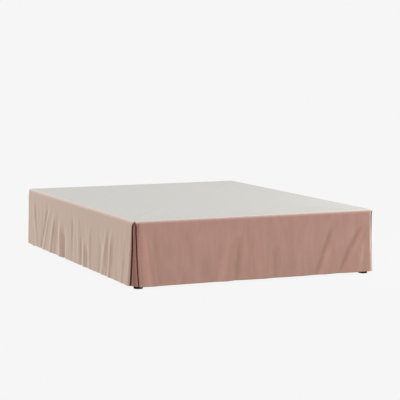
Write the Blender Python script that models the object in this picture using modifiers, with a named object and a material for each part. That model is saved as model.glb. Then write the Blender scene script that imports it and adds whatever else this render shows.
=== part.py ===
"""Bed skirt on a plain bed base.

A soft cloth skirt hangs round a bed base: a left, a foot and a right drop, sewn to a flat
deck that lies on the base's board, with a pleat let in at each foot corner. The head end
is open, and the side drops turn a little way round its corners.

Units are metres and +Z is up. The origin is on the floor under the middle of the bed, the
foot end faces -Y, the head end faces +Y and the left drop faces -X.
"""

import math
from collections import namedtuple

import bmesh
import bpy
from mathutils import Vector

# ---- driving sizes ------------------------------------------------------------------
BED_W = 1.52  # a queen size bed, over the skirt's top edge
BED_L = 2.03
TOP_Z = 0.382  # top face of the deck cloth
HEM_Z = 0.016  # the hem stops this far above the floor
CLOTH = 0.002
GAP = 0.0003  # between pieces that lie on or against each other
EDGE_CLEAR = 0.002  # between the cloth and the board's edge
SEAM_GAP = 0.0004  # between two drops where they meet over a pleat

# ---- the skirt's form ---------------------------------------------------------------
DROP = TOP_Z - HEM_Z
SHOULDER = 0.009  # radius of the cloth's middle over the board's edge
SEAM_IN = 0.014  # the seam with the deck lies this far in from the skirt's face
CORNER_TOP = 0.029  # plan radius of the cloth's middle at the corners, at the top
CALM = 0.060  # the folds die away over this distance from a drop's ends
HEAD_RETURN = 0.055  # the side drops go this far round the head corners
HEAD_ROUND = 0.028  # height over which the cloth rounds off at the top of a head corner
HEAD_PINCH = 0.002  # and how far it is drawn in there
HEAD_CALM = 0.050  # below this level a head corner is upright
HEAD_SPREAD, HEAD_FADE = math.radians(75), math.radians(60)  # as turns from the corner's middle
FLARE_POWER = 1.15  # how the skirt's outward lean grows towards the hem

# ---- the corner pleats --------------------------------------------------------------
APEX = 0.010  # the pleat opens this far below the top
FLATTENS = 0.130  # over this height below it the round corner takes its lower form
SLOT = 0.0085  # width of the dark slot beside the pleat
ARCH = 0.024  # height over which the slots part under the apex
SLOT_DEPTH = 0.019
SLOT_DEPTH_TOP = 0.012  # in front of the board
FOLD_RADIUS = 0.0028  # of a folded edge, at the cloth's middle
PLEAT_TOP = 0.013  # the let-in piece starts this far below the top
PLEAT_LEAST = 0.0038  # half its width under the arch
PLEAT_SET_BACK = 0.0035  # how far its face lies behind the drops
PLEAT_TUCK = 0.0040  # and how much more at its top, under the arch
PLEAT_CREASE = 0.0030  # depth of the crease down its middle

# start: half the distance between its two slots, under its arch.
# spread: that distance grows by this times the square of the height.
# shift_top, shift_hem: how much nearer the foot side than the corner's middle it sits.
# side, foot: where the corner starts at the hem, from the bed's side and from its foot.
# flat: how nearly the corner is cut straight across between those, 0 for a round one.
Pleat = namedtuple("Pleat", "start spread shift_top shift_hem side foot flat")
PLEATS = {
    "left": Pleat(0.0110, 0.125, -0.0050, 0.0010, 0.062, 0.036, 0.85),
    "right": Pleat(0.0080, 0.040, -0.0020, -0.0320, 0.034, 0.034, 0.0),
}

# Heights of the face's rows, measured down from the top.
FACE_LEVELS = (APEX, 0.020, 0.034, 0.060, 0.115, 0.170, 0.225, 0.280, 0.330, DROP)
PLEAT_LEVELS = (PLEAT_TOP,) + FACE_LEVELS[1:]

# ---- the folds ----------------------------------------------------------------------
# at_hem: place along the drop at the hem, from the drop's first end.
# lean: how much further along its upper end lies.
# starts, full: how far below the top it begins, and has its whole depth.
# kept: the share of its depth that is left at the hem.
# half: half its width. rise: its depth, outwards if above zero.
Fold = namedtuple("Fold", "at_hem lean starts full kept half rise")

LEFT_FOLDS = [
    Fold(0.230, -0.080, 0.05, 0.15, 0.3, 0.024, 0.0045),
    Fold(0.317, 0.160, 0.05, 0.14, 0.8, 0.026, -0.0070),
    Fold(0.368, 0.130, 0.08, 0.20, 0.8, 0.022, 0.0045),
    Fold(0.515, 0.095, 0.08, 0.20, 0.8, 0.030, 0.0080),
    Fold(0.630, 0.030, 0.10, 0.22, 0.8, 0.036, -0.0055),
    Fold(0.728, -0.005, 0.11, 0.24, 0.8, 0.032, 0.0080),
    Fold(0.803, 0.000, 0.13, 0.25, 0.8, 0.030, -0.0060),
    Fold(0.968, -0.006, 0.06, 0.15, 0.3, 0.021, -0.0045),
    Fold(1.070, -0.008, 0.04, 0.13, 0.3, 0.030, 0.0040),
    Fold(1.140, 0.000, 0.17, 0.27, 0.8, 0.023, -0.0045),
    Fold(1.188, 0.000, 0.17, 0.27, 0.8, 0.024, 0.0065),
    Fold(1.246, 0.004, 0.19, 0.29, 0.8, 0.026, -0.0055),
    Fold(1.284, -0.004, 0.09, 0.19, 0.5, 0.028, 0.0050),
    Fold(1.480, 0.020, 0.13, 0.23, 0.6, 0.032, -0.0050),
    Fold(1.516, 0.084, 0.06, 0.16, 0.8, 0.026, 0.0070),
    Fold(1.590, 0.045, 0.08, 0.20, 0.8, 0.023, -0.0055),
    Fold(1.640, 0.030, 0.08, 0.20, 0.8, 0.028, 0.0068),
    Fold(1.855, 0.010, 0.17, 0.27, 0.8, 0.022, 0.0035),
    Fold(1.892, 0.036, 0.08, 0.18, 0.8, 0.028, -0.0050),
]
FOOT_FOLDS = [
    Fold(0.124, -0.062, 0.03, 0.12, 0.8, 0.025, 0.0092),
    Fold(0.470, -0.010, 0.19, 0.29, 0.8, 0.047, -0.0050),
    Fold(0.550, 0.030, 0.11, 0.24, 0.8, 0.032, 0.0065),
    Fold(0.628, 0.040, 0.05, 0.18, 0.8, 0.032, -0.0100),
    Fold(0.792, 0.004, 0.09, 0.22, 0.8, 0.036, 0.0065),
    Fold(0.866, 0.000, 0.15, 0.26, 0.8, 0.025, -0.0060),
    Fold(1.040, 0.010, 0.11, 0.22, 0.6, 0.032, 0.0060),
    Fold(1.132, 0.128, 0.05, 0.16, 0.8, 0.027, -0.0125),
    Fold(1.182, 0.108, 0.13, 0.24, 0.8, 0.022, 0.0065),
    Fold(1.278, 0.175, 0.06, 0.18, 0.8, 0.028, -0.0130),
    Fold(1.394, 0.064, 0.11, 0.22, 0.8, 0.030, 0.0085),
]
RIGHT_FOLDS = [
    Fold(0.190, 0.030, 0.09, 0.22, 0.8, 0.032, 0.0085),
    Fold(0.270, 0.020, 0.11, 0.24, 0.8, 0.026, -0.0080),
    Fold(0.440, -0.040, 0.07, 0.20, 0.8, 0.034, 0.0085),
    Fold(0.530, -0.030, 0.13, 0.24, 0.8, 0.026, -0.0070),
    Fold(0.720, 0.050, 0.09, 0.22, 0.8, 0.032, 0.0100),
    Fold(0.800, 0.060, 0.11, 0.22, 0.8, 0.024, -0.0085),
    Fold(0.960, 0.010, 0.15, 0.26, 0.8, 0.032, 0.0070),
    Fold(1.120, -0.020, 0.09, 0.20, 0.6, 0.028, -0.0065),
    Fold(1.200, -0.030, 0.08, 0.20, 0.8, 0.030, 0.0095),
    Fold(1.330, 0.000, 0.17, 0.27, 0.8, 0.026, -0.0080),
    Fold(1.480, 0.050, 0.09, 0.22, 0.8, 0.032, 0.0100),
    Fold(1.570, 0.060, 0.11, 0.24, 0.8, 0.026, -0.0080),
    Fold(1.780, -0.020, 0.11, 0.24, 0.8, 0.034, 0.0080),
]

# ---- the drops ----------------------------------------------------------------------
# A drop is laid out on the cloth's middle, half its thickness inside the bed's outline.
# flares: (place along the drop, how far the hem stands out there).
Drop = namedtuple("Drop", "length columns folds flares")

MIDDLE_W = BED_W - CLOTH
MIDDLE_L = BED_L - CLOTH
LEFT_FLARES = ((0.0, 0.0075), (1.60, 0.0090), (MIDDLE_L, 0.0160))
FOOT_FLARES = ((0.0, 0.0160), (0.30, 0.0110), (MIDDLE_W, 0.0070))
RIGHT_FLARES = ((0.0, 0.0075), (1.60, 0.0100), (MIDDLE_L, 0.0080))
DROPS = {
    "left": Drop(MIDDLE_L, 88, LEFT_FOLDS, LEFT_FLARES),
    "foot": Drop(MIDDLE_W, 68, FOOT_FOLDS, FOOT_FLARES),
    "right": Drop(MIDDLE_L, 80, RIGHT_FOLDS, RIGHT_FLARES),
}

# Segments of the shorter stretches of a row.
SHOULDER_STEPS = 3
HEAD_ARC_STEPS = 4
CORNER_STEPS = 4
FOLD_STEPS = 3
LEG_STEPS = 2
PLEAT_FACE_STEPS = 4
LAID_STEP = 0.0018  # spacing of a folded edge's points where it is still laid flat

# ---- the bed base -------------------------------------------------------------------
BOARD = 0.018
BOARD_TOP = TOP_Z - CLOTH - GAP
BOARD_UNDER = BOARD_TOP - BOARD
BOARD_UNDER_LEVEL = TOP_Z - BOARD_UNDER
BOARD_EDGE = 0.012  # rounding of its upper edge
BOARD_CORNER = 0.060  # its plan corners are cut back, behind the pleats
POST = 0.070
POST_IN = 0.025  # from the bed's outline to a corner post
POST_CUT = 0.018  # chamfer on a post's outer edge, which leaves the pleat its room
RAIL = 0.028
RAIL_H = 0.140
RAIL_IN = 0.030
BEAM = 0.040
CENTRE_POST = 0.060
FOOT_D = 0.054
FOOT_H = 0.045
FOOT_EDGE = 0.004
FOOT_SIDES = 24
FOOT_FROM_SIDE = 0.044  # a foot's middle, from the bed's outline
FOOT_FROM_END = 0.051
WOOD_EDGE = 0.002


# ---- helpers ------------------------------------------------------------------------
def smooth(x):
    """0 up to 0, 1 from 1 on, with a soft start and end."""
    x = min(max(x, 0.0), 1.0)
    return x * x * (3 - 2 * x)


def read_off(table, x):
    """The value at x of a table of (place, value) pairs, straight between them."""
    for (x0, y0), (x1, y1) in zip(table, table[1:]):
        if x <= x1:
            return y0 + (y1 - y0) * (x - x0) / (x1 - x0)
    return table[-1][1]


def between(a, b, steps):
    """The share of the way from a to b at each of steps + 1 even places."""
    return [a + (b - a) * i / steps for i in range(steps + 1)]


def make_material(name, colour, roughness, metallic=0.0, sheen=0.0):
    mat = bpy.data.materials.new(name)
    mat.use_nodes = True
    shader = mat.node_tree.nodes["Principled BSDF"]
    shader.inputs["Base Color"].default_value = (*colour, 1.0)
    shader.inputs["Roughness"].default_value = roughness
    shader.inputs["Metallic"].default_value = metallic
    shader.inputs["Sheen Weight"].default_value = sheen
    mat.diffuse_color = (*colour, 1.0)
    return mat


def add_object(name, mesh, mat, collection):
    obj = bpy.data.objects.new(name, mesh)
    mesh.materials.append(mat)
    collection.objects.link(obj)
    return obj


# ---- how a drop hangs ---------------------------------------------------------------
def lean_share(level):
    """The share of the hem's flare that a level has."""
    hang = (level - FACE_LEVELS[0]) / (DROP - FACE_LEVELS[0])
    return max(hang, 0.0) ** FLARE_POWER


def fold_depth(folds, along, level):
    """How far the folds push the cloth out at a place."""
    out = 0.0
    for fold in folds:
        if level <= fold.starts:
            continue
        up = (DROP - level) / (DROP - fold.starts)
        off = (along - fold.at_hem - fold.lean * up) / fold.half
        depth = smooth((level - fold.starts) / (fold.full - fold.starts))
        fade = smooth((level - fold.full) / (DROP - fold.full)) if fold.full < DROP else 0.0
        out += fold.rise * depth * (1 - (1 - fold.kept) * fade) * math.exp(-off * off)
    return out


def hang_out(drop, along, level):
    """How far a drop's middle stands out from the bed's outline at a place."""
    flare = read_off(drop.flares, min(max(along, 0.0), drop.length)) * lean_share(level)
    from_end = min(along, drop.length - along)
    calm = smooth((from_end - CORNER_TOP) / CALM)
    return flare + calm * fold_depth(drop.folds, along, level)


def down_share(level):
    """0 at the pleat's apex, 1 at the hem."""
    return max(level - APEX, 0.0) / (DROP - APEX)


class FootCorner:
    """One foot corner at one level, seen from one of its two drops.

    Places are (distance from the bed's end along the drop, distance out from it), and
    across is measured from the corner's middle, towards the other drop.
    """

    def __init__(self, here, there, level, reach_here, reach_there, flat):
        share = math.sqrt(down_share(level))
        self.start = Vector((CORNER_TOP + (reach_here - CORNER_TOP) * share, here))
        self.end = Vector((-there, -CORNER_TOP - (reach_there - CORNER_TOP) * share))
        self.middle = (self.start + self.end) / 2
        self.half = (self.end - self.start).length / 2
        self.across = (self.end - self.start).normalized()
        self.outward = Vector((self.across.y, -self.across.x))
        self.flat = flat * smooth((level - APEX) / FLATTENS)
        self.round = self.half * math.sqrt(2)

    def at(self, across, deeper=0.0):
        """The place on the corner's curve or on the face past it, or deeper in behind them."""
        past = abs(across) - self.half
        if past > 0 and across < 0:
            place = self.start - Vector((past / self.across.x, 0.0))
        elif past > 0:
            place = self.end + Vector((0.0, past / self.across.y))
        else:
            rise = math.sqrt(self.round**2 - across**2) - self.round / math.sqrt(2)
            place = self.middle + self.across * across + self.outward * rise * (1 - self.flat)
        return place - self.outward * deeper


def slot_middle(pleat, level):
    """Half the distance between the middles of a pleat's slots."""
    arch = math.sqrt(min(max(level - APEX, 0.0) / ARCH, 1.0))
    return pleat.start * arch + pleat.spread * level**2


def moved_to_foot(pleat, level):
    """How much nearer the foot side than the corner's middle a pleat sits."""
    return pleat.shift_top + (pleat.shift_hem - pleat.shift_top) * down_share(level) ** 2


def slot_depth(level):
    under_board = smooth((level - BOARD_UNDER_LEVEL) / ARCH)
    return SLOT_DEPTH_TOP + (SLOT_DEPTH - SLOT_DEPTH_TOP) * under_board


def rounded_bend(before, bend, after, radius, steps):
    """Points along an arc that rounds the bend between two straight stretches."""
    to_before = (before - bend).normalized()
    to_after = (after - bend).normalized()
    opening = to_before.angle(to_after)
    reach = radius / math.tan(opening / 2)
    first, last = bend + to_before * reach, bend + to_after * reach
    centre = bend + (to_before + to_after).normalized() * (radius / math.sin(opening / 2))
    points = []
    for share in between(0.0, 1.0, steps):
        spoke = (first - centre).lerp(last - centre, share).normalized()
        points.append(centre + spoke * radius)
    return points


def corner_end(corner, slot, level):
    """A drop's points round a foot corner, then its folded edge and inner leg.

    slot is the place of the slot's middle. Above the pleat the folded edge is laid flat up
    to the seam, and there is no leg.
    """
    if level <= APEX:
        edge = -SEAM_GAP / 2
        step = min(LAID_STEP, corner.half / (CORNER_STEPS + FOLD_STEPS))
        laid = [edge - step * k for k in range(FOLD_STEPS, -1, -1)]
        round_part = [corner.at(c) for c in between(-corner.half, laid[0], CORNER_STEPS)]
        return round_part[:-1] + [corner.at(c) for c in laid] + [None] * LEG_STEPS
    bend = corner.at(-(slot + SLOT / 2 + CLOTH / 2))
    before = corner.at(-(slot + SLOT / 2 + CLOTH / 2 + FOLD_RADIUS))
    inner = corner.at(-(slot + GAP / 2 + CLOTH / 2), slot_depth(level))
    fold = rounded_bend(before, bend, inner, FOLD_RADIUS, FOLD_STEPS)
    reach = (fold[0] - corner.middle).dot(corner.across)
    first = min(-corner.half, reach - FOLD_RADIUS)
    round_part = [corner.at(c) for c in between(first, reach, CORNER_STEPS)]
    leg = [fold[-1].lerp(inner, share) for share in between(0.0, 1.0, LEG_STEPS)]
    return round_part[:-1] + fold + leg[1:]


def head_end(out, inset):
    """A side drop's points round its head corner, from the return's end on."""
    radius = CORNER_TOP
    reach = radius + out - inset
    points = [Vector((inset - out, -radius - HEAD_RETURN * share)) for share in (1.0, 0.5)]
    for angle in between(math.pi / 2, 0.0, HEAD_ARC_STEPS):
        points.append(Vector((radius - reach * math.sin(angle), -radius + reach * math.cos(angle))))
    return points


def soften_head(p, level, inset):
    """A point of a side drop, rounded off and drawn in where it is near the head corner's top."""
    middle = Vector((CORNER_TOP, -CORNER_TOP))
    near = smooth((HEAD_SPREAD - (p - middle).angle(Vector((-1.0, 1.0)))) / HEAD_FADE)
    face_top = CLOTH / 2 + SHOULDER
    if level < face_top:
        turned = 1 - min(inset / SHOULDER, 1.0)
        rounded = CLOTH / 2 + HEAD_ROUND * (1 - math.sqrt(1 - turned**2))
        drawn = HEAD_PINCH * turned**2
    else:
        fade = 1 - smooth((level - face_top) / (HEAD_CALM - face_top))
        rounded = level + (HEAD_ROUND - SHOULDER) * fade
        drawn = HEAD_PINCH * fade
    p = p + (middle - p).normalized() * drawn * near
    return Vector((p.x, p.y, -level - (rounded - level) * near))


def drop_rows(name, first_other, last_other):
    """A drop's rows of points, as (along, out, down), from its seam with the deck to its hem.

    first_other and last_other name the drop that it meets at each end, or None at the head.
    """
    drop = DROPS[name]
    inset_top = SEAM_IN - CLOTH / 2
    levels = [(CLOTH / 2, inset_top)]
    for share in between(0.0, 1.0, SHOULDER_STEPS):
        turn = share * math.pi / 2
        levels.append((CLOTH / 2 + SHOULDER * (1 - math.cos(turn)), SHOULDER * (1 - math.sin(turn))))
    levels += [(level, 0.0) for level in FACE_LEVELS[1:]]

    rows = []
    for level, inset in levels:
        row = []
        ends = []
        for other, along in ((first_other, 0.0), (last_other, drop.length)):
            out = hang_out(drop, along, level)
            if other is None:
                ends.append(head_end(out, inset))
                continue
            other_drop = DROPS[other]
            meets_at = 0.0 if name == "left" else other_drop.length
            other_out = hang_out(other_drop, meets_at, level)
            pleat = PLEATS[other if name == "foot" else name]
            reaches, away = (pleat.side, pleat.foot), -1
            if name == "foot":
                reaches, away = reaches[::-1], 1
            corner = FootCorner(out - inset, other_out - inset, level, *reaches, pleat.flat)
            slot = slot_middle(pleat, level) + away * moved_to_foot(pleat, level)
            ends.append(corner_end(corner, slot, level))
        row += ends[0] if first_other is None else ends[0][::-1]
        start = row[-1].x
        finish = drop.length - ends[1][0].x
        for along in between(start, finish, drop.columns)[1:-1]:
            row.append(Vector((along, hang_out(drop, along, level) - inset)))
        row += [None if p is None else Vector((drop.length - p.x, p.y)) for p in ends[1]]
        if first_other is None:
            rows.append([None if p is None else soften_head(p, level, inset) for p in row])
        else:
            rows.append([None if p is None else Vector((p.x, p.y, -level)) for p in row])
    return rows


def sheet(name, rows, place, mat, collection, thickness=CLOTH):
    """A cloth of even thickness on rows of points; None leaves a place out."""
    mesh = bpy.data.meshes.new(name)
    bm = bmesh.new()
    grid = [[None if p is None else bm.verts.new(place(p)) for p in row] for row in rows]
    for upper, lower in zip(grid, grid[1:]):
        for i in range(len(upper) - 1):
            cell = (upper[i], lower[i], lower[i + 1], upper[i + 1])
            if None not in cell:
                bm.faces.new(cell)
    bmesh.ops.recalc_face_normals(bm, faces=bm.faces)
    bm.to_mesh(mesh)
    bm.free()
    obj = add_object(name, mesh, mat, collection)
    obj.modifiers.new("split", "TRIANGULATE")
    thick = obj.modifiers.new("cloth", "SOLIDIFY")
    thick.thickness = thickness
    thick.offset = 0.0
    thick.use_even_offset = True
    mesh.shade_smooth()
    return obj


def place_left(p):
    """A point of the left drop, (along, out, down), in the bed's frame."""
    return Vector((-MIDDLE_W / 2 - p.y, MIDDLE_L / 2 - p.x, TOP_Z + p.z))


def place_right(p):
    return Vector((MIDDLE_W / 2 + p.y, MIDDLE_L / 2 - p.x, TOP_Z + p.z))


def place_foot(p):
    return Vector((p.x - MIDDLE_W / 2, -MIDDLE_L / 2 - p.y, TOP_Z + p.z))


def pleat_rows(side):
    """A let-in pleat's rows, seen from its side drop."""
    pleat = PLEATS[side]
    rows = []
    for level in PLEAT_LEVELS:
        side_drop, foot_drop = DROPS[side], DROPS["foot"]
        side_out = hang_out(side_drop, side_drop.length, level)
        foot_out = hang_out(foot_drop, 0.0 if side == "left" else foot_drop.length, level)
        corner = FootCorner(side_out, foot_out, level, pleat.side, pleat.foot, pleat.flat)
        middle = slot_middle(pleat, level)
        moved = moved_to_foot(pleat, level)
        tuck = PLEAT_TUCK * (1 - smooth((level - PLEAT_TOP) / (2 * ARCH)))
        back = PLEAT_SET_BACK + tuck
        face = max(middle - SLOT / 2 - CLOTH / 2, PLEAT_LEAST)
        foot_of_leg = max(middle - GAP / 2 - CLOTH / 2, PLEAT_LEAST)
        bends, inners = [], []
        for way in (-1, 1):
            bends.append(corner.at(moved + way * face, back))
            inners.append(corner.at(moved + way * foot_of_leg, slot_depth(level)))
        crease = corner.at(moved, back + PLEAT_CREASE * smooth((level - PLEAT_TOP) / DROP))
        first = rounded_bend(inners[0], bends[0], crease, FOLD_RADIUS, FOLD_STEPS)
        last = rounded_bend(crease, bends[1], inners[1], FOLD_RADIUS, FOLD_STEPS)
        row = [inners[0].lerp(first[0], share) for share in between(0.0, 1.0, LEG_STEPS)][:-1]
        row += first
        half_face = PLEAT_FACE_STEPS // 2
        row += [first[-1].lerp(crease, share) for share in between(0.0, 1.0, half_face)][1:]
        row += [crease.lerp(last[0], share) for share in between(0.0, 1.0, half_face)][1:-1]
        row += last
        row += [last[-1].lerp(inners[1], share) for share in between(0.0, 1.0, LEG_STEPS)][1:]
        rows.append([Vector((side_drop.length - p.x, p.y, -level)) for p in row])
    return rows


# ---- the base's pieces --------------------------------------------------------------
def block(name, low, high, mat, collection, cut_corner=None, edge=WOOD_EDGE):
    """A wooden block between two corners, with one upright edge cut if that is asked."""
    size = [h - l for l, h in zip(low, high)]
    centre = [(h + l) / 2 for l, h in zip(low, high)]
    bpy.ops.mesh.primitive_cube_add(size=1.0, location=centre)
    obj = bpy.context.object
    obj.name = name
    obj.data.name = name
    bm = bmesh.new()
    bm.from_mesh(obj.data)
    bmesh.ops.scale(bm, vec=size, verts=bm.verts)
    if cut_corner:
        uprights = [e for e in bm.edges if abs(e.verts[0].co.z - e.verts[1].co.z) > size[2] / 2]
        outer = [e for e in uprights if all(e.verts[0].co[i] * cut_corner[i] > 0 for i in (0, 1))]
        bmesh.ops.bevel(bm, geom=outer, offset=POST_CUT, segments=1, affect="EDGES")
    bm.to_mesh(obj.data)
    bm.free()
    if edge:
        bevel = obj.modifiers.new("edges", "BEVEL")
        bevel.width = edge
        bevel.segments = 1
    obj.data.materials.append(mat)
    for old in obj.users_collection:
        old.objects.unlink(obj)
    collection.objects.link(obj)
    return obj


def rounded_plate(name, half_w, half_l, low, high, radius, top_edge, mat, collection):
    """A flat plate with round corners and, if asked, a rounded upper edge."""
    mesh = bpy.data.meshes.new(name)
    bm = bmesh.new()
    bmesh.ops.create_cube(bm, size=1.0)
    bmesh.ops.scale(bm, vec=(2 * half_w, 2 * half_l, high - low), verts=bm.verts)
    bmesh.ops.translate(bm, vec=(0, 0, (low + high) / 2), verts=bm.verts)
    uprights = [e for e in bm.edges if abs(e.verts[0].co.z - e.verts[1].co.z) > 1e-6]
    bmesh.ops.bevel(bm, geom=uprights, offset=radius, segments=6, profile=0.5, affect="EDGES")
    if top_edge:
        rim = [e for e in bm.edges if all(v.co.z > high - 1e-6 for v in e.verts)]
        bmesh.ops.bevel(bm, geom=rim, offset=top_edge, segments=3, profile=0.5, affect="EDGES")
    bm.to_mesh(mesh)
    bm.free()
    return add_object(name, mesh, mat, collection)


def bed_foot(name, x, y, mat, collection):
    """A round foot whose lower edge is rounded."""
    height = FOOT_H - GAP
    bpy.ops.mesh.primitive_cylinder_add(
        vertices=FOOT_SIDES, radius=FOOT_D / 2, depth=height, location=(x, y, height / 2)
    )
    obj = bpy.context.object
    obj.name = name
    obj.data.name = name
    bm = bmesh.new()
    bm.from_mesh(obj.data)
    rim = [e for e in bm.edges if all(v.co.z < 0 for v in e.verts)]
    bmesh.ops.bevel(bm, geom=rim, offset=FOOT_EDGE, segments=2, profile=0.5, affect="EDGES")
    bm.to_mesh(obj.data)
    bm.free()
    obj.data.materials.append(mat)
    obj.data.shade_smooth()
    obj.data.set_sharp_from_angle(angle=math.radians(40))
    for old in obj.users_collection:
        old.objects.unlink(obj)
    collection.objects.link(obj)
    return obj


def build_base(wood, plastic, collection):
    half_w, half_l = BED_W / 2, BED_L / 2
    board_in = CLOTH + EDGE_CLEAR
    rounded_plate("bed_board", half_w - board_in, half_l - board_in, BOARD_UNDER, BOARD_TOP,
                  BOARD_CORNER, BOARD_EDGE, wood, collection)

    rail_low, rail_high = BOARD_UNDER - GAP - RAIL_H, BOARD_UNDER - GAP
    post_x, post_y = half_w - POST_IN, half_l - POST_IN
    for end, sy in (("foot", -1), ("head", 1)):
        for side, sx in (("left", -1), ("right", 1)):
            xs = sorted((sx * post_x, sx * (post_x - POST)))
            ys = sorted((sy * post_y, sy * (post_y - POST)))
            block(f"post_{end}_{side}", (xs[0], ys[0], FOOT_H), (xs[1], ys[1], rail_high),
                  wood, collection, cut_corner=(sx, sy))
            bed_foot(f"foot_{end}_{side}", sx * (half_w - FOOT_FROM_SIDE),
                     sy * (half_l - FOOT_FROM_END), plastic, collection)

    rail_x, rail_y = half_w - RAIL_IN, half_l - RAIL_IN
    side_reach = post_y - POST - GAP
    end_reach = post_x - POST - GAP
    for side, sx in (("left", -1), ("right", 1)):
        xs = sorted((sx * rail_x, sx * (rail_x - RAIL)))
        block(f"rail_{side}", (xs[0], -side_reach, rail_low), (xs[1], side_reach, rail_high),
              wood, collection)
    for end, sy in (("foot", -1), ("head", 1)):
        ys = sorted((sy * rail_y, sy * (rail_y - RAIL)))
        block(f"rail_{end}", (-end_reach, ys[0], rail_low), (end_reach, ys[1], rail_high),
              wood, collection)

    beam_reach = rail_y - RAIL - GAP
    block("beam_centre", (-BEAM / 2, -beam_reach, rail_low), (BEAM / 2, beam_reach, rail_high),
          wood, collection)
    block("post_centre", (-CENTRE_POST / 2, -CENTRE_POST / 2, FOOT_H),
          (CENTRE_POST / 2, CENTRE_POST / 2, rail_low - GAP), wood, collection)
    bed_foot("foot_centre", 0.0, 0.0, plastic, collection)


def build_skirt(cloth, lining, collection):
    sheet("drop_left", drop_rows("left", None, "foot"), place_left, cloth, collection)
    sheet("drop_foot", drop_rows("foot", "left", "right"), place_foot, cloth, collection)
    sheet("drop_right", drop_rows("right", None, "foot"), place_right, cloth, collection)
    sheet("pleat_left", pleat_rows("left"), place_left, cloth, collection)
    sheet("pleat_right", pleat_rows("right"), place_right, cloth, collection)
    deck_in = SEAM_IN + GAP
    rounded_plate("deck", BED_W / 2 - deck_in, BED_L / 2 - deck_in, TOP_Z - CLOTH, TOP_Z,
                  CORNER_TOP + CLOTH / 2 - deck_in, 0.0, lining, collection)


def main():
    for old in list(bpy.data.objects):
        bpy.data.objects.remove(old)
    collection = bpy.data.collections.new("bed_skirt")
    bpy.context.scene.collection.children.link(collection)
    cloth = make_material("skirt_cloth", (0.50, 0.29, 0.23), 0.9, sheen=0.4)
    lining = make_material("deck_cloth", (0.80, 0.77, 0.72), 0.9)
    wood = make_material("base_wood", (0.62, 0.45, 0.28), 0.6)
    plastic = make_material("foot_plastic", (0.01, 0.01, 0.01), 0.4)
    build_skirt(cloth, lining, collection)
    build_base(wood, plastic, collection)


main()
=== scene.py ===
"""Bed skirt on a plain bed base: the finished cloth, wood and feet, built round the model.

The skirt's cloth hangs in the folds of its solids, on a much finer mesh. A place on a drop is
(along, out, down): along the drop from its first end, outwards, and below the top. All sizes
are in metres.
"""

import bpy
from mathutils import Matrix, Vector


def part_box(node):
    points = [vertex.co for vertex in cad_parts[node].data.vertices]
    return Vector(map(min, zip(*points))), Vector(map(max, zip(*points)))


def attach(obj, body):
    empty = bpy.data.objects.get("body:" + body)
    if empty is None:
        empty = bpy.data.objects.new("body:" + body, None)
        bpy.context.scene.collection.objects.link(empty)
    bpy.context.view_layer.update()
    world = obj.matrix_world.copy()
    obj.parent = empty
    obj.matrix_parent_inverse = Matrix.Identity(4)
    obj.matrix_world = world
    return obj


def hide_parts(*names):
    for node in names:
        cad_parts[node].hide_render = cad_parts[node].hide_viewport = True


bl_info = {
    "name": "Bed Skirt",
    "version": (1, 0, 0),
    "blender": (4, 5, 0),
    "location": "3D View > Sidebar > Bed Skirt",
    "description": "Makes a tailored bed skirt with pleated foot corners on a plain bed base",
    "category": "Add Mesh",
}

import math
from collections import namedtuple

import bmesh
import bpy
from bpy.props import FloatProperty, FloatVectorProperty, PointerProperty
from mathutils import Vector, noise

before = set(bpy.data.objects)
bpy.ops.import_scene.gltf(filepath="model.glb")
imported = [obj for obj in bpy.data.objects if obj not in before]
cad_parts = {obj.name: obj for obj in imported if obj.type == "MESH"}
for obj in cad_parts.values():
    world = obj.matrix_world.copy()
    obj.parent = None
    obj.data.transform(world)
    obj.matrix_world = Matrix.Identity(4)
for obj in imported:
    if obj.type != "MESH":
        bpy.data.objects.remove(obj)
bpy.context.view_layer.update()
BODY = "root"

# ---- sizes of the model -------------------------------------------------------------
GAP = 0.0003  # between pieces that are sewn or laid together
SEAM_IN = 0.014  # the seam with the deck lies this far in from the skirt's face
DECK_HALF_W, DECK_HALF_L, TOP_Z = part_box("deck")[1]
SOLID_CLOTH = 0.002  # thickness of the model's cloth, whose middle the finer cloth keeps
TOP_MIDDLE = SOLID_CLOTH / 2  # level of that middle on top of the base
HEM_Z = 0.016
MIDDLE_W = 2 * (DECK_HALF_W + SEAM_IN + GAP) - SOLID_CLOTH
MIDDLE_L = 2 * (DECK_HALF_L + SEAM_IN + GAP) - SOLID_CLOTH
BOARD_UNDER_LEVEL = TOP_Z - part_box("bed_board")[0].z

DROP = TOP_Z - HEM_Z
SHOULDER = 0.009  # radius of the cloth's middle over the board's edge
CORNER_TOP = 0.029  # its plan radius at the corners, at the top
CALM = 0.060  # the folds die away over this distance from a drop's ends
HEAD_RETURN = 0.055  # the side drops go this far round the head corners
HEAD_ROUND = 0.028  # height over which the cloth rounds off at the top of a head corner
HEAD_PINCH = 0.002  # and how far it is drawn in there
HEAD_CALM = 0.050  # below this level a head corner is upright
HEAD_SPREAD, HEAD_FADE = math.radians(75), math.radians(60)  # as turns from its middle
FLARE_POWER = 1.15  # how the skirt's outward lean grows towards the hem
LEAN_FROM = 0.010  # and the level where it starts
FOLD_REACH = 3.5  # in half widths: a fold is too low to count past this

APEX = 0.010  # a pleat opens this far below the top
FLATTENS = 0.130  # over this height below it the round corner takes its lower form
SLOT = 0.0085  # width of the dark slot beside a pleat
ARCH = 0.024  # height over which the slots part under the apex
SLOT_DEPTH = 0.019
SLOT_DEPTH_TOP = 0.012  # in front of the board
FOLD_RADIUS = 0.0028  # of a folded edge, at the cloth's middle
LAID = 0.0054  # beside the joint above a pleat the points stand close over this width
PLEAT_TOP = 0.015  # the let-in piece starts this far below the top
PLEAT_LEAST = 0.0032  # half its width under the arch
PLEAT_SET_BACK = 0.0035  # how far its face lies behind the drops
PLEAT_TUCK = 0.0040  # and how much more at its top, under the arch
PLEAT_CREASE = 0.0030  # depth of the crease down its middle

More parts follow.
